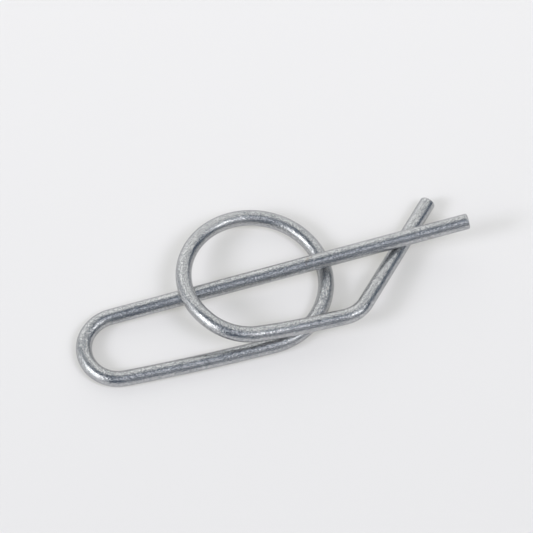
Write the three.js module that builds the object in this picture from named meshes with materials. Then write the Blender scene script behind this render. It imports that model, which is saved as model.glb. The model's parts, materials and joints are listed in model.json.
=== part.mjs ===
import * as THREE from 'three';

// Hitch pin lock: one length of round spring wire, bent into a pin leg, an end loop, a finger ring
// that works as a coil spring, and a latch whose hook snaps under the pin leg.
// Millimetres and degrees, +Z up. The clip lies flat. The pin leg runs along +X towards its cut end.
// The route starts at the pin leg's cut end and every bend turns the same way, anticlockwise from above.
// Lengths and turns are those of the wire's centre line, measured along the plan view.

// Wire
const wire_diameter = 3.175;
const wire_sides = 24;
const cut_end_chamfer = 0.25;

// Plan shape, in the order of the wire
const pin_leg_length = 72.9;
const end_loop_radius = 6.8;
const end_loop_angle = 177.5;
const return_leg_length = 29.9;
const return_leg_angle = 3.5;
const ring_radius = 14.05;
const ring_angle = 306.5;
const ring_close_radius = 11;
const ring_close_angle = 51.5;
const latch_leg_length = 17.3;
const hook_bend_radius = 6.5;
const hook_bend_angle = 48.2;
const hook_leg_length = 27.3;

// Heights: how the wire passes over and under itself
const ring_under_pin_clearance = 0.45;
const ring_over_pin_clearance = 0.15;
const latch_over_ring_clearance = 0.2;
const hook_under_pin_clearance = 0.2;
const ring_crest_rise = 0.8;
const ring_crest_angle = 300;
const hook_bend_drop = 0.25;
const pin_lift_angle = 45;

// Where the ring is divided: the stretch between the two angles is what flexes
const spring_start_angle = 190;
const spring_end_angle = 335;

// Facets along the bends
const bend_step = 5.5;

const wire_radius = wire_diameter / 2;
const radians = THREE.MathUtils.degToRad;

// The plan route as a chain of runs with a constant turn each
const runs = [];
let run_heading = Math.PI;
let run_start = 0;
let corner = new THREE.Vector2(pin_leg_length, 0);

function planPoint(run, along) {
  const turned = run.heading + run.curvature * along;
  if (run.curvature === 0) {
    return new THREE.Vector2(
      run.from.x + along * Math.cos(run.heading),
      run.from.y + along * Math.sin(run.heading)
    );
  }
  return new THREE.Vector2(
    run.from.x + (Math.sin(turned) - Math.sin(run.heading)) / run.curvature,
    run.from.y - (Math.cos(turned) - Math.cos(run.heading)) / run.curvature
  );
}

function addRun(length, turn) {
  const run = {
    start: run_start,
    end: run_start + length,
    length,
    heading: run_heading,
    curvature: radians(turn) / length,
    from: corner
  };
  corner = planPoint(run, length);
  run_heading += radians(turn);
  run_start += length;
  runs.push(run);
  return run;
}

function addBend(radius, turn) {
  return addRun(radius * radians(turn), turn);
}

const pin_run = addRun(pin_leg_length, 0);
const loop_run = addBend(end_loop_radius, end_loop_angle);
const return_run = addRun(return_leg_length, return_leg_angle);
const ring_run = addBend(ring_radius, ring_angle);
const close_run = addBend(ring_close_radius, ring_close_angle);
const latch_run = addRun(latch_leg_length, 0);
const bend_run = addBend(hook_bend_radius, hook_bend_angle);
const hook_run = addRun(hook_leg_length, 0);

function runAt(station) {
  return runs.find((run) => station <= run.end) ?? hook_run;
}

function planAt(station) {
  const run = runAt(station);
  return planPoint(run, station - run.start);
}

function headingAt(station) {
  const run = runAt(station);
  return run.heading + run.curvature * (station - run.start);
}

function ringStation(angle) {
  const main = Math.min(angle, ring_angle);
  const closing = Math.max(angle - ring_angle, 0);
  return ring_run.start + ring_radius * radians(main) + ring_close_radius * radians(closing);
}

// Where two stretches of the wire come nearest to each other in plan
function crossing(from_a, to_a, from_b, to_b) {
  let best = { gap: Infinity, a: from_a, b: from_b };
  let span_a = (to_a - from_a) / 2;
  let span_b = (to_b - from_b) / 2;
  let middle_a = (from_a + to_a) / 2;
  let middle_b = (from_b + to_b) / 2;
  for (let round = 0; round < 5; round++) {
    for (let i = -40; i <= 40; i++) {
      const a = THREE.MathUtils.clamp(middle_a + (span_a * i) / 40, from_a, to_a);
      const point_a = planAt(a);
      for (let k = -40; k <= 40; k++) {
        const b = THREE.MathUtils.clamp(middle_b + (span_b * k) / 40, from_b, to_b);
        const gap = point_a.distanceTo(planAt(b));
        if (gap < best.gap) best = { gap, a, b };
      }
    }
    middle_a = best.a;
    middle_b = best.b;
    span_a /= 12;
    span_b /= 12;
  }
  return best;
}

const under_pin = crossing(pin_run.start, pin_run.end, ringStation(30), ringStation(150));
const over_pin = crossing(pin_run.start, pin_run.end, ringStation(210), ringStation(310));
const hook_cross = crossing(pin_run.start, pin_run.end, hook_run.start, hook_run.end);
const latch_cross = crossing(ringStation(310), latch_run.end, return_run.start, ringStation(50));

// The wire rests on its end loop, return leg and the front of the ring. The pin leg lifts off in the
// first part of the end loop and climbs steadily, so that it clears the ring's front.
const lift_length = end_loop_radius * radians(pin_lift_angle);
const under_pin_distance = pin_run.end - under_pin.a;
const pin_slope = (wire_diameter + ring_under_pin_clearance) / (under_pin_distance + lift_length / 2);
const pin_foot_height = wire_radius + (pin_slope * lift_length) / 2;

function pinHeight(station) {
  return pin_foot_height + pin_slope * (pin_run.end - station);
}

const over_pin_height = pinHeight(over_pin.a) + wire_diameter + ring_over_pin_clearance;
const hook_cross_height = pinHeight(hook_cross.a) - wire_diameter - hook_under_pin_clearance;
const latch_cross_height = wire_radius + wire_diameter + latch_over_ring_clearance;
const hook_foot_height = latch_cross_height - hook_bend_drop;
const hook_slope = (hook_cross_height - hook_foot_height) / (hook_cross.b - hook_run.start);

// Heights between the crossings follow a smooth rise and fall with no overshoot
const knots = [
  { at: under_pin.b, height: wire_radius, slope: 0 },
  { at: over_pin.b, height: over_pin_height },
  { at: ringStation(ring_crest_angle), height: over_pin_height + ring_crest_rise },
  { at: latch_cross.a, height: latch_cross_height },
  { at: hook_run.start, height: hook_foot_height, slope: hook_slope }
];

for (let i = 1; i < knots.length - 1; i++) {
  const before = knots[i].at - knots[i - 1].at;
  const after = knots[i + 1].at - knots[i].at;
  const rise_before = (knots[i].height - knots[i - 1].height) / before;
  const rise_after = (knots[i + 1].height - knots[i].height) / after;
  const weight_before = 2 * after + before;
  const weight_after = after + 2 * before;
  knots[i].slope = rise_before * rise_after <= 0
    ? 0
    : (weight_before + weight_after) / (weight_before / rise_before + weight_after / rise_after);
}

// The span between two knots that holds a station, and how far along it the station lies
function spanAt(station) {
  let i = 0;
  while (i < knots.length - 2 && station > knots[i + 1].at) i++;
  const length = knots[i + 1].at - knots[i].at;
  return { low: knots[i], high: knots[i + 1], length, t: (station - knots[i].at) / length };
}

function smoothHeight(station) {
  const { low, high, length, t } = spanAt(station);
  return (1 + 2 * t) * (1 - t) ** 2 * low.height
    + t * (1 - t) ** 2 * length * low.slope
    + t * t * (3 - 2 * t) * high.height
    + t * t * (t - 1) * length * high.slope;
}

function smoothSlope(station) {
  const { low, high, length, t } = spanAt(station);
  return (6 * t * (1 - t) * (high.height - low.height)) / length
    + (3 * t * t - 4 * t + 1) * low.slope
    + (3 * t * t - 2 * t) * high.slope;
}

function heightAt(station) {
  if (station <= pin_run.end) return pinHeight(station);
  const left = lift_length - (station - loop_run.start);
  if (left > 0) return wire_radius + (pin_slope * left * left) / (2 * lift_length);
  if (station <= under_pin.b) return wire_radius;
  if (station < hook_run.start) return smoothHeight(station);
  return hook_foot_height + hook_slope * (station - hook_run.start);
}

function slopeAt(station) {
  if (station <= pin_run.end) return -pin_slope;
  const left = lift_length - (station - loop_run.start);
  if (left > 0) return (-pin_slope * left) / lift_length;
  if (station <= under_pin.b) return 0;
  if (station < hook_run.start) return smoothSlope(station);
  return hook_slope;
}

// A stretch of the wire's centre line, whose cross-sections stay upright
class WireStretch extends THREE.Curve {
  constructor(from, to, origin) {
    super();
    this.from = from;
    this.to = to;
    this.origin = origin;
  }

  stationAt(t) {
    return THREE.MathUtils.lerp(this.from, this.to, t);
  }

  getPoint(t, target = new THREE.Vector3()) {
    const station = this.stationAt(t);
    const plan = planAt(station);
    return target.set(plan.x, plan.y, heightAt(station)).sub(this.origin);
  }

  getPointAt(t, target) {
    return this.getPoint(t, target);
  }

  getTangent(t, target = new THREE.Vector3()) {
    const station = this.stationAt(t);
    const heading = headingAt(station);
    return target.set(Math.cos(heading), Math.sin(heading), slopeAt(station)).normalize();
  }

  computeFrenetFrames(steps) {
    const up = new THREE.Vector3(0, 0, 1);
    const tangents = [];
    const normals = [];
    const binormals = [];
    for (let i = 0; i <= steps; i++) {
      const tangent = this.getTangent(i / steps);
      const normal = new THREE.Vector3().crossVectors(up, tangent).normalize();
      tangents.push(tangent);
      normals.push(normal);
      binormals.push(new THREE.Vector3().crossVectors(tangent, normal));
    }
    return { tangents, normals, binormals };
  }
}

// Round wire drawn with a flat facet downwards
function wireSection() {
  const corners = [];
  for (let i = 0; i < wire_sides; i++) {
    const angle = ((i + 0.5) * 2 * Math.PI) / wire_sides;
    corners.push(new THREE.Vector2(wire_radius * Math.cos(angle), wire_radius * Math.sin(angle)));
  }
  return new THREE.Shape(corners);
}

const zinc = { color: 0x9a9fa6, metalness: 1.0, roughness: 0.42 };

function bentWire(name, from, to, steps, origin) {
  const geometry = new THREE.ExtrudeGeometry(wireSection(), {
    steps,
    extrudePath: new WireStretch(from, to, origin)
  });
  const mesh = new THREE.Mesh(geometry, new THREE.MeshStandardMaterial(zinc));
  mesh.name = name;
  return mesh;
}

function bendSteps(turn) {
  return Math.ceil(turn / bend_step);
}

// A straight leg, turned from its foot to a cut end with a small chamfer
function straightLeg(name, foot, tip, origin) {
  const length = foot.distanceTo(tip);
  const profile = [
    new THREE.Vector2(0, 0),
    new THREE.Vector2(wire_radius, 0),
    new THREE.Vector2(wire_radius, length - cut_end_chamfer),
    new THREE.Vector2(wire_radius - cut_end_chamfer, length),
    new THREE.Vector2(0, length)
  ];
  const geometry = new THREE.LatheGeometry(profile, wire_sides, Math.PI / wire_sides);
  const mesh = new THREE.Mesh(geometry, new THREE.MeshStandardMaterial(zinc));
  const along = tip.clone().sub(foot).normalize();
  const side = new THREE.Vector3().crossVectors(along, new THREE.Vector3(0, 0, 1)).normalize();
  const upright = new THREE.Vector3().crossVectors(side, along);
  mesh.quaternion.setFromRotationMatrix(new THREE.Matrix4().makeBasis(side, along, upright));
  mesh.position.copy(foot).sub(origin);
  mesh.name = name;
  return mesh;
}

function centreAt(station) {
  const plan = planAt(station);
  return new THREE.Vector3(plan.x, plan.y, heightAt(station));
}

// The latch swings about the ring's centre as the ring flexes
const ring_from = planAt(ring_run.start);
const ring_centre = new THREE.Vector3(
  ring_from.x - ring_radius * Math.sin(ring_run.heading),
  ring_from.y + ring_radius * Math.cos(ring_run.heading),
  0
);
const ground = new THREE.Vector3(0, 0, 0);
const spring_start = ringStation(spring_start_angle);
const spring_end = ringStation(spring_end_angle);
const close_turn = ring_angle + ring_close_angle - spring_end_angle;

const fixed_wire = new THREE.Group();
fixed_wire.add(
  straightLeg('pin_leg', centreAt(pin_run.end), centreAt(0), ground),
  bentWire('end_loop', loop_run.start, loop_run.end, bendSteps(end_loop_angle), ground),
  bentWire('return_leg', return_run.start, return_run.end, 4, ground),
  bentWire('ring_front', ring_run.start, spring_start, bendSteps(spring_start_angle), ground),
  bentWire('ring_spring', spring_start, spring_end, bendSteps(spring_end_angle - spring_start_angle), ground)
);

const latch = new THREE.Group();
latch.position.copy(ring_centre);
latch.add(
  bentWire('ring_end', spring_end, close_run.end, bendSteps(close_turn), ring_centre),
  bentWire('latch_leg', latch_run.start, latch_run.end, 6, ring_centre),
  bentWire('hook_bend', bend_run.start, bend_run.end, bendSteps(hook_bend_angle), ring_centre),
  straightLeg('hook_leg', centreAt(hook_run.start), centreAt(hook_run.end), ring_centre)
);

const hitch_pin_lock = new THREE.Group();
hitch_pin_lock.add(fixed_wire, latch);

// The origin is the middle of the clip's footprint, on the surface that it lies on
const box = new THREE.Box3().setFromObject(hitch_pin_lock, true);
const middle = box.getCenter(new THREE.Vector3());
hitch_pin_lock.position.set(-middle.x, -middle.y, -box.min.z);

export default hitch_pin_lock;
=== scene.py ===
"""Looks for the hitch pin lock: one length of zinc plated spring wire, laid on a pale table.

The wire follows the same route as the CAD part. It is drawn in three lengths, one for each thing
that it does: the frame wire stays still, the ring's coil flexes, and the latch wire swings.
"""

import json
import math

import bpy
import numpy as np
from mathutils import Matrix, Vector


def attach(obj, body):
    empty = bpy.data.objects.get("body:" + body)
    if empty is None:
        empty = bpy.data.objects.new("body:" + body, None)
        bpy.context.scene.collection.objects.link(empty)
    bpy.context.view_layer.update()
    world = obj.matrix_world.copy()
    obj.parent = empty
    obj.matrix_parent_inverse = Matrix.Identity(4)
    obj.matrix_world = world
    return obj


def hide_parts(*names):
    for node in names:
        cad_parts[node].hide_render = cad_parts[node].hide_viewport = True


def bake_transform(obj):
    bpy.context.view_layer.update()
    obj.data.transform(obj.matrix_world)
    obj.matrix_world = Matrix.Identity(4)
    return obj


bl_info = {
    "name": "Hitch Pin Lock",
    "version": (1, 0, 0),
    "blender": (4, 5, 0),
    "location": "3D View > Sidebar > Hitch Pin Lock",
    "description": "Dresses a bent wire hitch pin lock in zinc plating",
    "category": "Object",
}

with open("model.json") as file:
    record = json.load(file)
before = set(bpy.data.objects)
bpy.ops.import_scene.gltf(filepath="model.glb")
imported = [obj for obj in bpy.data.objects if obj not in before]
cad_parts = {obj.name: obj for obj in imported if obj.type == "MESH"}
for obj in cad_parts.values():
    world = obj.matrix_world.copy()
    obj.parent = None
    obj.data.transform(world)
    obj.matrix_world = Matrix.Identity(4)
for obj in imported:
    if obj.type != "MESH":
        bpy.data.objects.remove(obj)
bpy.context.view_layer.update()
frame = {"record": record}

MM = 0.001
SECTION_FACETS = 24  # facets round the CAD wire, which lies on one of them
STRAIGHT_CURVATURE = 1e-9  # a run that is bent less than this counts as straight
CUT_STEPS = 6  # cross-sections on a rounded cut end
JOINT_STEP = 0.01 * MM  # first step at an end that isn't cut, to turn its face square to the route
SHARP_EDGE = math.radians(40)  # an edge that turns more than this is shaded sharp
FEWEST_FACES = 100  # a length of wire with fewer faces has lost its skin

# A crossing is searched for in rounds. Each round tries this many stations on both stretches, and
# the next one covers a 24th of the stretch on either side of the best pair.
SEARCH_ROUNDS = 5
SEARCH_STATIONS = 81
SEARCH_PARTS = 24

# Turns round the ring, in degrees, between which it passes under and over the pin leg. Its end,
# from OVERLAP_END_TURN on, crosses over its start, up to OVERLAP_START_TURN.
UNDER_PIN_TURNS = (30, 150)
OVER_PIN_TURNS = (210, 310)
OVERLAP_START_TURN = 50
OVERLAP_END_TURN = 310

# The plating's patterns: how many times longer each is along the wire than across it, and where
# its noise starts to count and counts in full.
GRAIN_STRETCH, GRAIN_RANGE = 1.1, (0.32, 0.68)
PATCH_STRETCH, PATCH_RANGE = 1.8, (0.36, 0.66)
LINE_STRETCH, LINE_RANGE = 16.0, (0.3, 0.7)
CRYSTALS_PER_GRAIN = 0.62
CRYSTAL_HEIGHT, LINE_HEIGHT = 0.5, 0.12  # as shares of the grain's height
PATCH_DULLNESS, GRAIN_DULLNESS = 0.2, 0.8  # shares of the whole
STAINS_PER_METRE = 170.0
STAIN_RANGE = (0.66, 0.74)
STAIN_STRENGTH = 0.55
STAIN_ROUGHNESS = 0.2  # added in proportion to the stain
EDGE_TINT = (0.8, 0.8, 0.8, 1.0)  # tint of the metal's reflection towards grazing angles
MIX_AMOUNT, MIX_UNDER, MIX_OVER, MIX_RESULT = 0, 6, 7, 2  # a Mix node's sockets for colours

# Where the camera stands: its turn about the vertical and its rise above the table, in degrees,
# and the point that it looks at. They were fitted to the wire's outline in the photograph.
CAMERA_TURN = -14.555
CAMERA_RISE = 62.669
LOOK_AT = (0.391 * MM, 3.962 * MM, 0.0)
SENSOR_WIDTH = 36.0  # in millimetres, as Blender wants it
CLIP_START, CLIP_END = 0.01, 100.0  # how near and how far the camera sees
AWAY, TOWARDS = 90.0, -90.0  # turns away from the camera and towards it
# The backdrop is painted darker towards the camera and lighter away from it: a painted falloff of
# the light across the table.
BACKDROP_FADE = 70.0 * MM  # how far from the middle the backdrop has its full colour

# Turn and rise of each lamp, as the camera sees them, and its width and height in metres.
LEFT_LAMP = (201.8, 34.5, (0.58, 0.56))
RIGHT_LAMP = (-35.6, 56.4, (0.75, 0.7))
LAMP_TINT = (0.965, 0.955, 1.08)

# The room's glows, each laid over the ones before it: the name of its colour in StudioSizes, its
# turn and rise as the camera sees them, and the cosines at which it starts and at which it is full.
# Like the lights' colours and the lamps' places, most of these numbers were first set and then
# refined by a least squares fit of the lights to the photograph.
GLOWS = (
    ("far_room", 107.5, 23.4, 0.739, 0.784),
    ("front_fill", -69.0, 62.9, 0.874, 0.974),
    ("ceiling", 66.3, 39.2, 0.782, 0.854),
    ("softbox", -55.0, 28.4, 0.901, 0.937),
    ("window", 200.8, 18.4, 0.719, 0.846),
    ("left_glow", -145.8, 36.3, 0.908, 0.939),
    ("right_glow", -22.2, 46.8, 0.942, 0.963),
    ("left_core", -152.0, 35.5, 0.964, 0.992),
    ("right_core", -27.0, 48.0, 0.984, 0.997),
)


def length(name, text, value):
    """A length that a user may change, given in millimetres and held in metres."""
    return bpy.props.FloatProperty(
        name=name, description=text, default=value * MM, min=0.0, precision=5, unit="LENGTH"
    )


def angle(name, text, value):
    """An angle that a user may change, given in degrees."""
    return bpy.props.FloatProperty(
        name=name, description=text, default=math.radians(value), subtype="ANGLE", unit="ROTATION"
    )


def share(name, text, value, top=1.0):
    """A plain number from nought to top."""
    return bpy.props.FloatProperty(
        name=name, description=text, default=value, min=0.0, max=top, subtype="FACTOR"
    )


def colour(name, text, value):
    """A colour in linear red, green and blue."""
    return bpy.props.FloatVectorProperty(
        name=name, description=text, default=value, size=3, min=0.0, max=8.0, subtype="COLOR"
    )


class WireSizes(bpy.types.PropertyGroup):
    """The route of the wire's centre line, in the order in which the wire is bent."""

    wire_diameter: length("Wire diameter", "Thickness of the round wire", 3.175)
    pin_leg_length: length("Pin leg", "Straight leg that goes through the pin's cross hole", 72.9)
    end_loop_radius: length("End loop radius", "Bend at the grip end", 6.8)
    end_loop_angle: angle("End loop turn", "How far the wire turns at the grip end", 177.5)
    return_leg_length: length("Return leg", "Leg that comes back beside the pin leg", 29.9)
    return_leg_angle: angle("Return leg turn", "Slight bow of the return leg", 3.5)
    ring_radius: length("Ring radius", "Finger ring, which works as a coil spring", 14.05)
    ring_angle: angle("Ring turn", "How far the wire turns round the ring", 306.5)
    ring_close_radius: length("Ring closing radius", "Tighter end of the ring", 11.0)
    ring_close_angle: angle("Ring closing turn", "Turn of the tighter end", 51.5)
    latch_leg_length: length("Latch leg", "Straight leg from the ring to the hook", 17.3)
    hook_bend_radius: length("Hook bend radius", "Bend where the hook starts", 6.5)
    hook_bend_angle: angle("Hook bend turn", "How far the hook turns back", 48.2)
    hook_leg_length: length("Hook leg", "Leg that snaps under the pin leg", 27.3)
    ring_under_pin: length("Ring under pin leg", "Gap where the ring goes under", 0.45)
    ring_over_pin: length("Ring over pin leg", "Gap where the ring goes over", 0.15)
    latch_over_ring: length("Latch over ring", "Gap where the wire crosses its own start", 0.2)
    hook_under_pin: length("Hook under pin leg", "Gap where the hook goes under", 0.2)
    ring_crest_rise: length("Ring crest", "Rise after the ring has crossed over the pin leg", 0.8)
    ring_crest_angle: angle("Ring crest place", "Where the ring is highest", 300.0)
    hook_bend_drop: length("Hook bend drop", "Fall from the latch crossing to the hook", 0.25)
    pin_lift_angle: angle("Pin lift", "Part of the end loop in which the pin leg lifts off", 45.0)
    spring_start_angle: angle("Coil start", "Where the flexing part of the ring starts", 190.0)
    spring_end_angle: angle("Coil end", "Where the flexing part of the ring ends", 335.0)
    cut_rounding: length("Cut end rounding", "Rounding of the sheared ends", 0.33)
    section_sides: bpy.props.IntProperty(
        name="Sides", description="Facets round the wire", default=48, min=12, max=96
    )
    station_step: length("Step", "Distance between cross-sections along the wire", 0.45)


class ZincFinish(bpy.types.PropertyGroup):
    """The plating: a crystalline grey skin with duller patches, drawing lines and stains."""

    pale: colour("Pale zinc", "Colour of the clean plating", (0.625, 0.63, 0.632))
    dull: colour("Dull zinc", "Colour of the duller grains and patches", (0.31, 0.324, 0.342))
    stain: colour("Stain", "Colour of the few warm stains", (0.30, 0.255, 0.20))
    roughness: share("Roughness", "Roughness of the clean plating", 0.09)
    dull_roughness: share("Dull roughness", "Roughness of the duller grains and patches", 0.16)
    grain_size: length("Grain size", "Size of the crystals in the plating", 0.20)
    patch_size: length("Patch size", "Size of the duller patches", 2.6)
    line_spacing: length("Line spacing", "Distance between the wire's drawing lines", 0.42)
    grain_depth: length("Grain depth", "Height of the plating's grain", 0.0205)


class StudioSizes(bpy.types.PropertyGroup):
    """Table, backdrop, lights and camera."""

    table_size: length("Table size", "Side of the square table top", 8000.0)
    table: colour("Table colour", "Colour of the pale table top", (0.44, 0.44, 0.441))
    # Near and far backdrop differ as painted shade: the front is darker, standing in for the light
    # falling off towards the camera.
    near_backdrop: colour("Near backdrop", "Background colour in front", (0.219, 0.214, 0.188))
    far_backdrop: colour("Far backdrop", "Background colour behind", (0.297, 0.291, 0.266))
    far_room: colour("Far side of the room", "Light from behind the object", (1.25, 1.25, 1.23))
    near_room: colour("Near side of the room", "Light from the camera's side", (0.11, 0.14, 0.19))
    ceiling: colour("Ceiling glow", "Light from above, behind the object", (0.975, 0.98, 0.97))
    front_fill: colour("Front fill", "Weak light from above the camera", (0.685, 0.715, 0.79))
    softbox: colour("Softbox", "Dim light on the camera's right", (0.42, 0.43, 0.455))
    window: colour("Window", "Light from the left", (1.025, 1.04, 1.055))
    left_glow: colour("Left glow", "What the metal sees of the left lamp", (1.75, 1.755, 1.76))
    left_core: colour("Left core", "Middle of the left lamp's glow", (4.6, 4.6, 4.65))
    right_glow: colour("Right glow", "What the metal sees of the right lamp", (1.45, 1.46, 1.475))
    right_core: colour("Right core", "Middle of the right lamp's glow", (4.2, 4.2, 4.3))
    lamp_distance: length("Lamp distance", "From the object to each lamp", 1800.0)
    left_lamp_light: share("Left lamp", "How brightly the left lamp lights a surface", 0.232, 4.0)
    right_lamp_light: share("Right lamp", "How brightly the right lamp lights a surface", 0.28, 4.0)
    camera_distance: length("Camera distance", "From the camera to the object", 587.4)
    camera_lens: bpy.props.FloatProperty(
        name="Lens", description="Focal length in millimetres", default=199.25, min=10.0
    )


class WireRoute:
    """The wire's centre line. A station is a distance along it, from the pin leg's cut end."""

    def __init__(self, sizes):
        self.radius = sizes.wire_diameter / 2
        self.runs = []
        self.heading = math.pi
        self.corner = np.array([sizes.pin_leg_length, 0.0])
        self.total = 0.0
        self.pin = self.add(sizes.pin_leg_length, 0.0)
        self.loop = self.add_bend(sizes.end_loop_radius, sizes.end_loop_angle)
        self.back = self.add(sizes.return_leg_length, sizes.return_leg_angle)
        self.ring = self.add_bend(sizes.ring_radius, sizes.ring_angle)
        self.add_bend(sizes.ring_close_radius, sizes.ring_close_angle)
        self.latch = self.add(sizes.latch_leg_length, 0.0)
        self.add_bend(sizes.hook_bend_radius, sizes.hook_bend_angle)
        self.hook = self.add(sizes.hook_leg_length, 0.0)
        self.sizes = sizes
        self.set_heights(sizes)
        self.set_place()

    def add(self, distance, turn):
        """Adds a run of this length, which turns by this angle along the way."""
        run = {
            "start": self.total,
            "end": self.total + distance,
            "heading": self.heading,
            "curvature": turn / distance,
            "from": self.corner,
        }
        self.runs.append(run)
        self.corner = self.run_point(run, distance)
        self.heading += turn
        self.total += distance
        return run

    def add_bend(self, radius, turn):
        return self.add(radius * turn, turn)

    @staticmethod
    def run_point(run, along):
        """The place in plan at this distance from the start of a run."""
        start, heading, curvature = run["from"], run["heading"], run["curvature"]
        if abs(curvature) < STRAIGHT_CURVATURE:
            return start + along * np.array([math.cos(heading), math.sin(heading)])
        turned = heading + curvature * along
        return start + np.array(
            [math.sin(turned) - math.sin(heading), math.cos(heading) - math.cos(turned)]
        ) / curvature

    def plan(self, station):
        for run in self.runs:
            if station <= run["end"]:
                break
        return self.run_point(run, station - run["start"])

    def ring_station(self, turned):
        """The station at which the wire has turned this far round the ring."""
        main = min(turned, self.sizes.ring_angle)
        closing = max(turned - self.sizes.ring_angle, 0.0)
        return (
            self.ring["start"]
            + self.sizes.ring_radius * main
            + self.sizes.ring_close_radius * closing
        )

    def crossing(self, from_a, to_a, from_b, to_b):
        """The stations at which two stretches come nearest to each other in plan."""
        low_a, high_a, low_b, high_b = from_a, to_a, from_b, to_b
        for _ in range(SEARCH_ROUNDS):
            a = np.linspace(low_a, high_a, SEARCH_STATIONS)
            b = np.linspace(low_b, high_b, SEARCH_STATIONS)
            places_a = np.array([self.plan(s) for s in a])
            places_b = np.array([self.plan(s) for s in b])
            gaps = np.linalg.norm(places_a[:, None] - places_b[None], axis=2)
            i, k = np.unravel_index(gaps.argmin(), gaps.shape)
            reach_a = (high_a - low_a) / SEARCH_PARTS
            reach_b = (high_b - low_b) / SEARCH_PARTS
            low_a, high_a = max(a[i] - reach_a, from_a), min(a[i] + reach_a, to_a)
            low_b, high_b = max(b[k] - reach_b, from_b), min(b[k] + reach_b, to_b)
        return float(a[i]), float(b[k])

    def set_heights(self, sizes):
        """How the wire passes over and under itself."""
        wire = sizes.wire_diameter
        pin, hook = self.pin, self.hook

        def at(degrees):
            return self.ring_station(math.radians(degrees))

        self.under_pin = self.crossing(pin["start"], pin["end"], *map(at, UNDER_PIN_TURNS))
        self.over_pin = self.crossing(pin["start"], pin["end"], *map(at, OVER_PIN_TURNS))
        self.hook_cross = self.crossing(pin["start"], pin["end"], hook["start"], hook["end"])
        self.latch_cross = self.crossing(
            at(OVERLAP_END_TURN), self.latch["end"], self.back["start"], at(OVERLAP_START_TURN)
        )
        self.lift = sizes.end_loop_radius * sizes.pin_lift_angle
        self.pin_slope = (wire + sizes.ring_under_pin) / (
            pin["end"] - self.under_pin[0] + self.lift / 2
        )
        self.pin_foot = self.radius + self.pin_slope * self.lift / 2
        over = self.pin_height(self.over_pin[0]) + wire + sizes.ring_over_pin
        cross = self.radius + wire + sizes.latch_over_ring
        self.hook_foot = cross - sizes.hook_bend_drop
        under = self.pin_height(self.hook_cross[0]) - wire - sizes.hook_under_pin
        self.hook_slope = (under - self.hook_foot) / (self.hook_cross[1] - hook["start"])
        stations = [
            self.under_pin[1],
            self.over_pin[1],
            self.ring_station(sizes.ring_crest_angle),
            self.latch_cross[0],
            hook["start"],
        ]
        heights = [self.radius, over, over + sizes.ring_crest_rise, cross, self.hook_foot]
        slopes = [0.0, 0.0, 0.0, 0.0, self.hook_slope]
        # Between two climbs or two falls the slope is their weighted harmonic mean, which can't
        # overshoot. At a crest or a dip it stays level.
        for i in range(1, len(stations) - 1):
            before = stations[i] - stations[i - 1]
            after = stations[i + 1] - stations[i]
            rise_before = (heights[i] - heights[i - 1]) / before
            rise_after = (heights[i + 1] - heights[i]) / after
            if rise_before * rise_after > 0:
                a, b = 2 * after + before, after + 2 * before
                slopes[i] = (a + b) / (a / rise_before + b / rise_after)
        self.knots = list(zip(stations, heights, slopes))

    def pin_height(self, station):
        """Height of the pin leg, which climbs evenly from the end loop to its cut end."""
        return self.pin_foot + self.pin_slope * (self.pin["end"] - station)

    def height(self, station):
        """Height of the centre line above the table, for a wire that is truly round."""
        if station <= self.pin["end"]:
            return self.pin_height(station)
        left = self.lift - (station - self.loop["start"])
        if left > 0:
            return self.radius + self.pin_slope * left * left / (2 * self.lift)
        if station <= self.knots[0][0]:
            return self.radius
        if station >= self.knots[-1][0]:
            return self.hook_foot + self.hook_slope * (station - self.hook["start"])
        i = 0
        while i < len(self.knots) - 2 and station > self.knots[i + 1][0]:
            i += 1
        (s0, z0, m0), (s1, z1, m1) = self.knots[i], self.knots[i + 1]
        # A cubic from one knot to the next, with the height and the slope of both.
        span = s1 - s0
        t = (station - s0) / span
        return (
            (1 + 2 * t) * (1 - t) ** 2 * z0
            + t * (1 - t) ** 2 * span * m0
            + t * t * (3 - 2 * t) * z1
            + t * t * (t - 1) * span * m1
        )

    def set_place(self):
        """The ring's centre stands on the latch's hinge, and the wire lies on the table."""
        start = self.plan(self.ring["start"])
        heading = self.ring["heading"]
        centre = start + self.sizes.ring_radius * np.array([-math.sin(heading), math.cos(heading)])
        hinge = frame["record"]["behaviour"]["joints"][0]["pos_m"]
        self.shift = np.array([hinge[0] - centre[0], hinge[1] - centre[1]])
        # The skin touches the middle of each of the CAD wire's facets, and lies as low as it.
        self.skin_radius = self.radius * math.cos(math.pi / SECTION_FACETS)
        self.sink = self.skin_radius - self.radius

    def point(self, station):
        x, y = self.plan(station) + self.shift
        return (float(x), float(y), self.height(station) + self.sink)


def seen_from_camera(turn, rise):
    """A direction given as the camera sees it: turn from its right, anticlockwise from above."""
    turn, rise = math.radians(turn + CAMERA_TURN), math.radians(rise)
    level = math.cos(rise)
    return Vector((math.cos(turn) * level, math.sin(turn) * level, math.sin(rise)))


def add_input(tree, name, kind, value=None):
    """An input of a node group, with its default where it has one."""
    socket = tree.interface.new_socket(name=name, in_out="INPUT", socket_type=kind)
    if value is not None:
        socket.default_value = value


def add_output(tree, name, kind):
    """An output of a node group."""
    tree.interface.new_socket(name=name, in_out="OUTPUT", socket_type=kind)


def feed(tree, socket, value):
    """Gives a socket its value, which is another socket or a plain number or colour."""
    if isinstance(value, bpy.types.NodeSocket):
        tree.links.new(value, socket)
    else:
        socket.default_value = value


def worked_out(tree, operation, *values):
    """The result of a Math node."""
    node = tree.nodes.new("ShaderNodeMath")
    node.operation = operation
    for socket, value in zip(node.inputs, values):
        feed(tree, socket, value)
    return node.outputs[0]


def spread(tree, value, start, end, first=0.0, last=1.0, smooth=False):
    """A value as it goes from start to end, turned into one that goes from first to last."""
    node = tree.nodes.new("ShaderNodeMapRange")
    if smooth:
        node.interpolation_type = "SMOOTHSTEP"
    names = ("Value", "From Min", "From Max", "To Min", "To Max")
    for name, number in zip(names, (value, start, end, first, last)):
        feed(tree, node.inputs[name], number)
    return node.outputs["Result"]


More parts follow.
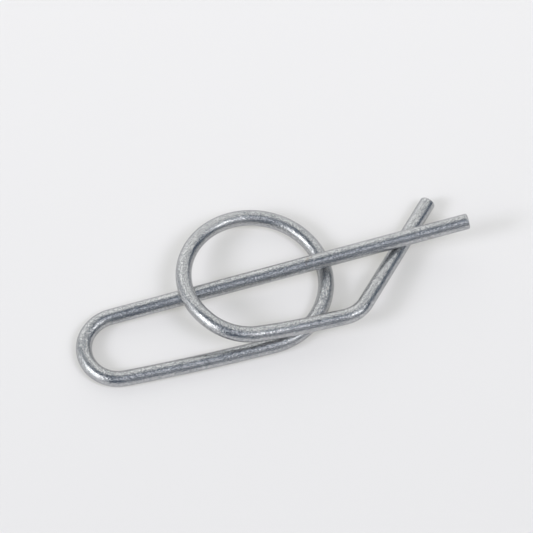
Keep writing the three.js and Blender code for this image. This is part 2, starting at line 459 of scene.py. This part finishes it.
def noise(tree, place, scale=1.0, detail=1.0, roughness=0.5, distortion=0.0):
    """A cloudy pattern between nought and one."""
    node = tree.nodes.new("ShaderNodeTexNoise")
    names = ("Vector", "Scale", "Detail", "Roughness", "Distortion")
    for name, value in zip(names, (place, scale, detail, roughness, distortion)):
        feed(tree, node.inputs[name], value)
    return node.outputs["Fac"]


def mixed_colours(tree, amount, under, over):
    """This much of one colour over another. Each colour is a socket or three numbers."""
    node = tree.nodes.new("ShaderNodeMix")
    node.data_type = "RGBA"
    for number, shade in ((MIX_UNDER, under), (MIX_OVER, over)):
        plain = not isinstance(shade, bpy.types.NodeSocket)
        feed(tree, node.inputs[number], (*shade, 1.0) if plain else shade)
    feed(tree, node.inputs[MIX_AMOUNT], amount)
    return node.outputs[MIX_RESULT]


def wire_form_tree():
    """Turns a line of points into round wire, tapered where the line says so."""
    tree = bpy.data.node_groups.get("wire form")
    if tree:
        return tree
    tree = bpy.data.node_groups.new("wire form", "GeometryNodeTree")
    add_input(tree, "Geometry", "NodeSocketGeometry")
    add_input(tree, "Wire Radius", "NodeSocketFloat")
    add_input(tree, "Sides", "NodeSocketInt")
    add_input(tree, "Sharp Angle", "NodeSocketFloat", SHARP_EDGE)
    add_input(tree, "Material", "NodeSocketMaterial")
    add_output(tree, "Geometry", "NodeSocketGeometry")
    new, link = tree.nodes.new, tree.links.new
    group_in = new("NodeGroupInput")
    group_out = new("NodeGroupOutput")

    def read(name, data_type):
        """What the points hold under this name."""
        node = new("GeometryNodeInputNamedAttribute")
        node.data_type = data_type
        node.inputs["Name"].default_value = name
        return node.outputs["Attribute"]

    def store(geometry, name, value):
        """Gives every point a vector under this name."""
        node = new("GeometryNodeStoreNamedAttribute")
        node.data_type = "FLOAT_VECTOR"
        node.domain = "POINT"
        node.inputs["Name"].default_value = name
        link(geometry, node.inputs["Geometry"])
        link(value, node.inputs["Value"])
        return node.outputs["Geometry"]

    # The route, and a round section that remembers each corner's place on it.
    line = new("GeometryNodeMeshToCurve")
    link(group_in.outputs["Geometry"], line.inputs["Mesh"])
    upright = new("GeometryNodeSetCurveNormal")
    upright.mode = "Z_UP"
    link(line.outputs["Curve"], upright.inputs["Curve"])
    section = new("GeometryNodeCurvePrimitiveCircle")
    link(group_in.outputs["Sides"], section.inputs["Resolution"])
    link(group_in.outputs["Wire Radius"], section.inputs["Radius"])
    corner = new("GeometryNodeInputPosition")
    around = store(section.outputs["Curve"], "section_place", corner.outputs["Position"])

    # The section swept along the route.
    taper = read("taper", "FLOAT")
    sweep = new("GeometryNodeCurveToMesh")
    sweep.inputs["Fill Caps"].default_value = True
    link(upright.outputs["Curve"], sweep.inputs["Curve"])
    link(around, sweep.inputs["Profile Curve"])
    link(taper, sweep.inputs["Scale"])

    # Where each point lies on the straightened wire, for the material.
    narrowed = new("ShaderNodeVectorMath")
    narrowed.operation = "SCALE"
    link(read("section_place", "FLOAT_VECTOR"), narrowed.inputs[0])
    link(taper, narrowed.inputs["Scale"])
    across = new("ShaderNodeSeparateXYZ")
    link(narrowed.outputs["Vector"], across.inputs["Vector"])
    place = new("ShaderNodeCombineXYZ")
    link(read("station", "FLOAT"), place.inputs["X"])
    link(across.outputs["X"], place.inputs["Y"])
    link(across.outputs["Y"], place.inputs["Z"])
    wire = store(sweep.outputs["Mesh"], "wire_place", place.outputs["Vector"])

    # Smooth shading, apart from the edges of the cut ends.
    smooth = new("GeometryNodeSetShadeSmooth")
    smooth.domain = "FACE"
    link(wire, smooth.inputs["Geometry"])
    bend = new("GeometryNodeInputMeshEdgeAngle")
    sharp = new("FunctionNodeCompare")
    sharp.data_type = "FLOAT"
    sharp.operation = "GREATER_THAN"
    link(bend.outputs["Unsigned Angle"], sharp.inputs[0])
    link(group_in.outputs["Sharp Angle"], sharp.inputs[1])
    crease = new("GeometryNodeSetShadeSmooth")
    crease.domain = "EDGE"
    crease.inputs["Shade Smooth"].default_value = False
    link(smooth.outputs["Geometry"], crease.inputs["Geometry"])
    link(sharp.outputs["Result"], crease.inputs["Selection"])

    real = new("GeometryNodeRealizeInstances")
    link(crease.outputs["Geometry"], real.inputs["Geometry"])
    dress = new("GeometryNodeSetMaterial")
    link(real.outputs["Geometry"], dress.inputs["Geometry"])
    link(group_in.outputs["Material"], dress.inputs["Material"])
    link(dress.outputs["Geometry"], group_out.inputs["Geometry"])
    return tree


def wire_stations(start, end, step, rounding, radius, cut_start, cut_end):
    """Stations of the cross-sections, each with its width as a share of the wire's."""
    rounded = []  # distance from the cut and width of each section, from the wire outwards
    for k in range(1, CUT_STEPS + 1):
        turned = math.radians(90 * k / CUT_STEPS)
        inset = rounding * (1 - math.sin(turned))
        rounded.append((inset, 1 - rounding / radius * (1 - math.cos(turned))))
    low = start + (rounding if cut_start else JOINT_STEP)
    high = end - (rounding if cut_end else JOINT_STEP)
    middle = np.linspace(low, high, max(2, math.ceil((high - low) / step)) + 1)
    first, last = [(start, 1.0)], [(end, 1.0)]
    if cut_start:
        first = [(start + inset, width) for inset, width in reversed(rounded)]
    if cut_end:
        last = [(end - inset, width) for inset, width in rounded]
    return first + [(station, 1.0) for station in middle] + last


def make_wire(name, route, start, end, cut_start=False, cut_end=False):
    """One length of the wire, between two stations, as a plain mesh at the origin."""
    sizes = route.sizes
    rows = wire_stations(
        start, end, sizes.station_step, sizes.cut_rounding, route.skin_radius, cut_start, cut_end
    )
    points = [route.point(station) for station, _ in rows]
    edges = [(i, i + 1) for i in range(len(points) - 1)]
    line = bpy.data.meshes.new(name + "_line")
    line.from_pydata(points, edges, [])
    for column, label in enumerate(("station", "taper")):
        attribute = line.attributes.new(label, "FLOAT", "POINT")
        attribute.data.foreach_set("value", [row[column] for row in rows])
    holder = bpy.data.objects.new(name + "_line", line)
    bpy.context.scene.collection.objects.link(holder)
    tree = wire_form_tree()
    modifier = holder.modifiers.new("wire form", "NODES")
    modifier.node_group = tree
    values = {
        "Wire Radius": route.skin_radius,
        "Sides": sizes.section_sides,
        "Material": zinc_wire_material(),
    }
    for socket in tree.interface.items_tree:
        if socket.item_type == "SOCKET" and socket.in_out == "INPUT" and socket.name in values:
            modifier[socket.identifier] = values[socket.name]
    graph = bpy.context.evaluated_depsgraph_get()
    mesh = bpy.data.meshes.new_from_object(
        holder.evaluated_get(graph), preserve_all_data_layers=True, depsgraph=graph
    )
    holder.modifiers.remove(modifier)
    bpy.data.objects.remove(holder)
    bpy.data.meshes.remove(line)
    if len(mesh.polygons) < FEWEST_FACES:
        raise RuntimeError(name + " came out without its skin")
    mesh.name = name
    face_outwards(mesh)
    piece = bpy.data.objects.new(name, mesh)
    bpy.context.scene.collection.objects.link(piece)
    return piece


def face_outwards(mesh):
    """Turns the whole skin over if its volume comes out negative."""
    mesh.calc_loop_triangles()
    places = np.array([v.co for v in mesh.vertices])
    corners = places[np.array([t.vertices for t in mesh.loop_triangles])]
    volume = np.einsum("ij,ij->i", corners[:, 0], np.cross(corners[:, 1], corners[:, 2])).sum()
    if volume < 0:
        mesh.flip_normals()


def plating_skin_group():
    """Grain, patches and drawing lines of zinc plating on drawn wire."""
    tree = bpy.data.node_groups.get("plating skin")
    if tree:
        return tree
    tree = bpy.data.node_groups.new("plating skin", "ShaderNodeTree")
    add_input(tree, "Place", "NodeSocketVector")
    for name in ("Grain Size", "Patch Size", "Line Spacing"):
        add_input(tree, name, "NodeSocketFloat")
    for name in ("Grain", "Patch", "Height"):
        add_output(tree, name, "NodeSocketFloat")
    new, link = tree.nodes.new, tree.links.new
    group_in = new("NodeGroupInput")
    group_out = new("NodeGroupOutput")

    def counted(size, stretch=1.0):
        """The place on the wire, counted in one of the sizes and stretched along the wire."""
        grow = new("ShaderNodeVectorMath")
        grow.operation = "SCALE"
        link(group_in.outputs["Place"], grow.inputs[0])
        link(worked_out(tree, "DIVIDE", 1.0, group_in.outputs[size]), grow.inputs["Scale"])
        squeeze = new("ShaderNodeVectorMath")
        squeeze.operation = "MULTIPLY"
        squeeze.inputs[1].default_value = (1.0 / stretch, 1.0, 1.0)
        link(grow.outputs["Vector"], squeeze.inputs[0])
        return squeeze.outputs["Vector"]

    grain = noise(tree, counted("Grain Size", GRAIN_STRETCH))
    grain = spread(tree, grain, *GRAIN_RANGE, smooth=True)
    crystal = new("ShaderNodeTexVoronoi")
    crystal.feature = "F1"
    crystal.inputs["Scale"].default_value = CRYSTALS_PER_GRAIN
    link(counted("Grain Size"), crystal.inputs["Vector"])
    patch = noise(
        tree, counted("Patch Size", PATCH_STRETCH), detail=4.0, roughness=0.6, distortion=0.8
    )
    patch = spread(tree, patch, *PATCH_RANGE, smooth=True)
    lines = noise(tree, counted("Line Spacing", LINE_STRETCH), detail=2.0)
    lines = spread(tree, lines, *LINE_RANGE, smooth=True)
    height = worked_out(tree, "MULTIPLY_ADD", crystal.outputs["Distance"], CRYSTAL_HEIGHT, grain)
    height = worked_out(tree, "MULTIPLY_ADD", lines, LINE_HEIGHT, height)
    link(grain, group_out.inputs["Grain"])
    link(patch, group_out.inputs["Patch"])
    link(height, group_out.inputs["Height"])
    return tree


def zinc_wire_material():
    """Zinc plating over spring wire, used by every length of the wire."""
    material = bpy.data.materials.get("zinc_plating")
    if material:
        return material
    finish = bpy.context.scene.zinc_finish
    material = bpy.data.materials.new("zinc_plating")
    material.use_nodes = True
    tree = material.node_tree
    nodes, link = tree.nodes, tree.links.new
    nodes.clear()
    output = nodes.new("ShaderNodeOutputMaterial")
    metal = nodes.new("ShaderNodeBsdfPrincipled")
    metal.inputs["Metallic"].default_value = 1.0
    metal.inputs["Specular Tint"].default_value = EDGE_TINT
    link(metal.outputs["BSDF"], output.inputs["Surface"])
    place = nodes.new("ShaderNodeAttribute")
    place.attribute_name = "wire_place"

    skin = nodes.new("ShaderNodeGroup")
    skin.node_tree = plating_skin_group()
    skin.inputs["Grain Size"].default_value = finish.grain_size
    skin.inputs["Patch Size"].default_value = finish.patch_size
    skin.inputs["Line Spacing"].default_value = finish.line_spacing
    link(place.outputs["Vector"], skin.inputs["Place"])

    dullness = worked_out(
        tree,
        "ADD",
        worked_out(tree, "MULTIPLY", skin.outputs["Patch"], PATCH_DULLNESS),
        worked_out(tree, "MULTIPLY", skin.outputs["Grain"], GRAIN_DULLNESS),
    )
    stains = noise(tree, place.outputs["Vector"], STAINS_PER_METRE, detail=5.0, roughness=0.7)
    stained = spread(tree, stains, *STAIN_RANGE, last=STAIN_STRENGTH)
    shade = mixed_colours(tree, dullness, finish.pale, finish.dull)
    shade = mixed_colours(tree, stained, shade, finish.stain)
    link(shade, metal.inputs["Base Color"])

    rough = spread(tree, dullness, 0.0, 1.0, finish.roughness, finish.dull_roughness)
    stain_rough = worked_out(tree, "MULTIPLY", stained, STAIN_ROUGHNESS)
    link(worked_out(tree, "ADD", rough, stain_rough), metal.inputs["Roughness"])

    bump = nodes.new("ShaderNodeBump")
    bump.inputs["Strength"].default_value = 1.0
    bump.inputs["Distance"].default_value = finish.grain_depth
    link(skin.outputs["Height"], bump.inputs["Height"])
    link(bump.outputs["Normal"], metal.inputs["Normal"])
    return material


def table_material(stage):
    """A pale top that keeps the shadows.

    The camera, metal and glass also see its backdrop colour, which doesn't light anything. It is
    painted darker towards the camera, a painted falloff of the light.
    """
    material = bpy.data.materials.new("pale_table")
    material.use_nodes = True
    tree = material.node_tree
    nodes, link = tree.nodes, tree.links.new
    nodes.clear()
    output = nodes.new("ShaderNodeOutputMaterial")
    both = nodes.new("ShaderNodeAddShader")
    link(both.outputs["Shader"], output.inputs["Surface"])
    top = nodes.new("ShaderNodeBsdfDiffuse")
    top.inputs["Color"].default_value = (*stage.table, 1.0)
    link(top.outputs["BSDF"], both.inputs[0])

    place = nodes.new("ShaderNodeTexCoord")
    away = nodes.new("ShaderNodeVectorMath")
    away.operation = "DOT_PRODUCT"
    away.inputs[1].default_value = seen_from_camera(AWAY, 0.0)
    link(place.outputs["Object"], away.inputs[0])
    # Painted shade: the backdrop grows darker towards the camera, in place of the lamps' falloff.
    far = spread(tree, away.outputs["Value"], -BACKDROP_FADE, BACKDROP_FADE)
    backdrop = mixed_colours(tree, far, stage.near_backdrop, stage.far_backdrop)

    rays = nodes.new("ShaderNodeLightPath")
    seen = rays.outputs["Is Camera Ray"]
    for kind in ("Is Glossy Ray", "Is Transmission Ray"):
        seen = worked_out(tree, "MAXIMUM", seen, rays.outputs[kind])
    shine = nodes.new("ShaderNodeEmission")
    link(backdrop, shine.inputs["Color"])
    link(seen, shine.inputs["Strength"])
    link(shine.outputs["Emission"], both.inputs[1])
    return material


def make_table(stage):
    """A flat square top under the object."""
    half = stage.table_size / 2
    mesh = bpy.data.meshes.new("table_top")
    corners = [(-half, -half, 0), (half, -half, 0), (half, half, 0), (-half, half, 0)]
    mesh.from_pydata(corners, [], [(0, 1, 2, 3)])
    mesh.materials.append(table_material(stage))
    table = bpy.data.objects.new("table_top", mesh)
    bpy.context.scene.collection.objects.link(table)


def glow_group():
    """How far a direction lies within a glow round an aim, from none to full."""
    tree = bpy.data.node_groups.get("room glow")
    if tree:
        return tree
    tree = bpy.data.node_groups.new("room glow", "ShaderNodeTree")
    add_input(tree, "Direction", "NodeSocketVector")
    add_input(tree, "Aim", "NodeSocketVector")
    add_input(tree, "Edge", "NodeSocketFloat")
    add_input(tree, "Full", "NodeSocketFloat")
    add_output(tree, "Amount", "NodeSocketFloat")
    new, link = tree.nodes.new, tree.links.new
    group_in = new("NodeGroupInput")
    group_out = new("NodeGroupOutput")
    along = new("ShaderNodeVectorMath")
    along.operation = "DOT_PRODUCT"
    link(group_in.outputs["Direction"], along.inputs[0])
    link(group_in.outputs["Aim"], along.inputs[1])
    edge, full = group_in.outputs["Edge"], group_in.outputs["Full"]
    amount = spread(tree, along.outputs["Value"], edge, full, smooth=True)
    link(amount, group_out.inputs["Amount"])
    return tree


def make_room(stage):
    """The room's light: dim on the camera's side, with the glows laid over it."""
    world = bpy.data.worlds.new("studio_room")
    bpy.context.scene.world = world
    world.use_nodes = True
    tree = world.node_tree
    nodes, link = tree.nodes, tree.links.new
    nodes.clear()
    output = nodes.new("ShaderNodeOutputWorld")
    light = nodes.new("ShaderNodeBackground")
    link(light.outputs["Background"], output.inputs["Surface"])
    direction = nodes.new("ShaderNodeTexCoord")
    shade = stage.near_room
    for name, turn, rise, edge, full in GLOWS:
        glow = nodes.new("ShaderNodeGroup")
        glow.node_tree = glow_group()
        glow.inputs["Aim"].default_value = seen_from_camera(turn, rise)
        glow.inputs["Edge"].default_value = edge
        glow.inputs["Full"].default_value = full
        link(direction.outputs["Generated"], glow.inputs["Direction"])
        shade = mixed_colours(tree, glow.outputs["Amount"], shade, getattr(stage, name))
    link(shade, light.inputs["Color"])


def make_lamp(name, placing, distance, light):
    """A soft lamp that faces the object. Under light 1 alone, a white table renders white.

    It lights surfaces and casts shadows. Metal sees the room's glow in its place.
    """
    turn, rise, size = placing
    data = bpy.data.lights.new(name, "AREA")
    data.shape = "ELLIPSE"
    data.size, data.size_y = size
    data.energy = light * math.pi**2 * distance**2 / math.sin(math.radians(rise))
    data.color = LAMP_TINT
    lamp = bpy.data.objects.new(name, data)
    towards = seen_from_camera(turn, rise)
    lamp.location = towards * distance
    lamp.rotation_mode = "QUATERNION"
    lamp.rotation_quaternion = towards.to_track_quat("Z", "Y")
    lamp.visible_camera = False
    lamp.visible_glossy = False
    bpy.context.scene.collection.objects.link(lamp)


def make_camera(stage):
    """The camera, where the photograph was taken from."""
    data = bpy.data.cameras.new("photo_camera")
    data.sensor_width = SENSOR_WIDTH
    data.lens = stage.camera_lens
    data.clip_start, data.clip_end = CLIP_START, CLIP_END
    camera = bpy.data.objects.new("photo_camera", data)
    towards = seen_from_camera(TOWARDS, CAMERA_RISE)
    camera.location = Vector(LOOK_AT) + towards * stage.camera_distance
    camera.rotation_mode = "QUATERNION"
    camera.rotation_quaternion = (-towards).to_track_quat("-Z", "Y")
    bpy.context.scene.collection.objects.link(camera)
    bpy.context.scene.camera = camera


class CLIP_OT_frame_wire(bpy.types.Operator):
    """Make the wire that stays still: pin leg, end loop, return leg and the front of the ring"""

    bl_idname = "clip.frame_wire"
    bl_label = "Frame Wire"

    def execute(self, context):
        route = WireRoute(context.scene.wire_sizes)
        end = route.ring_station(route.sizes.spring_start_angle)
        piece = make_wire("frame_wire", route, 0.0, end, cut_start=True)
        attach(piece, "clip_wire")
        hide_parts("pin_leg", "end_loop", "return_leg", "ring_front")
        return {"FINISHED"}


class CLIP_OT_ring_coil(bpy.types.Operator):
    """Make the part of the ring that flexes as the latch swings"""

    bl_idname = "clip.ring_coil"
    bl_label = "Ring Coil"

    def execute(self, context):
        route = WireRoute(context.scene.wire_sizes)
        start = route.ring_station(route.sizes.spring_start_angle)
        end = route.ring_station(route.sizes.spring_end_angle)
        piece = make_wire("ring_coil", route, start, end)
        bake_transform(piece)
        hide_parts("ring_spring")
        return {"FINISHED"}


class CLIP_OT_latch_wire(bpy.types.Operator):
    """Make the wire that swings: the end of the ring, the latch leg, the hook bend and the hook"""

    bl_idname = "clip.latch_wire"
    bl_label = "Latch Wire"

    def execute(self, context):
        route = WireRoute(context.scene.wire_sizes)
        start = route.ring_station(route.sizes.spring_end_angle)
        piece = make_wire("latch_wire", route, start, route.total, cut_end=True)
        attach(piece, "latch")
        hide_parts("ring_end", "latch_leg", "hook_bend", "hook_leg")
        return {"FINISHED"}


class CLIP_OT_studio(bpy.types.Operator):
    """Make the pale table, the room's light, the lamps and the camera"""

    bl_idname = "clip.studio"
    bl_label = "Studio"

    def execute(self, context):
        stage = context.scene.studio_sizes
        context.scene.view_settings.view_transform = "Standard"
        make_table(stage)
        make_room(stage)
        make_lamp("left_lamp", LEFT_LAMP, stage.lamp_distance, stage.left_lamp_light)
        make_lamp("right_lamp", RIGHT_LAMP, stage.lamp_distance, stage.right_lamp_light)
        make_camera(stage)
        return {"FINISHED"}


class CLIP_PT_panel(bpy.types.Panel):
    """Lists the steps that make the hitch pin lock"""

    bl_idname = "CLIP_PT_panel"
    bl_label = "Hitch Pin Lock"
    bl_space_type = "VIEW_3D"
    bl_region_type = "UI"
    bl_category = "Hitch Pin Lock"

    def draw(self, context):
        column = self.layout.column(align=True)
        for step in STEPS:
            column.operator(step.bl_idname)
        for group in ("wire_sizes", "zinc_finish", "studio_sizes"):
            holder = getattr(context.scene, group)
            box = self.layout.box()
            for name in holder.bl_rna.properties.keys():
                if name not in {"rna_type", "name"}:
                    box.prop(holder, name)


STEPS = (CLIP_OT_studio, CLIP_OT_frame_wire, CLIP_OT_ring_coil, CLIP_OT_latch_wire)
CLASSES = (WireSizes, ZincFinish, StudioSizes, *STEPS, CLIP_PT_panel)


def register():
    for cls in CLASSES:
        bpy.utils.register_class(cls)
    bpy.types.Scene.wire_sizes = bpy.props.PointerProperty(type=WireSizes)
    bpy.types.Scene.zinc_finish = bpy.props.PointerProperty(type=ZincFinish)
    bpy.types.Scene.studio_sizes = bpy.props.PointerProperty(type=StudioSizes)


def unregister():
    del bpy.types.Scene.wire_sizes
    del bpy.types.Scene.zinc_finish
    del bpy.types.Scene.studio_sizes
    for cls in reversed(CLASSES):
        bpy.utils.unregister_class(cls)


def main():
    register()
    bpy.ops.clip.studio()
    bpy.ops.clip.frame_wire()
    bpy.ops.clip.ring_coil()
    bpy.ops.clip.latch_wire()
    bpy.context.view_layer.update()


if __name__ == "__main__":
    main()
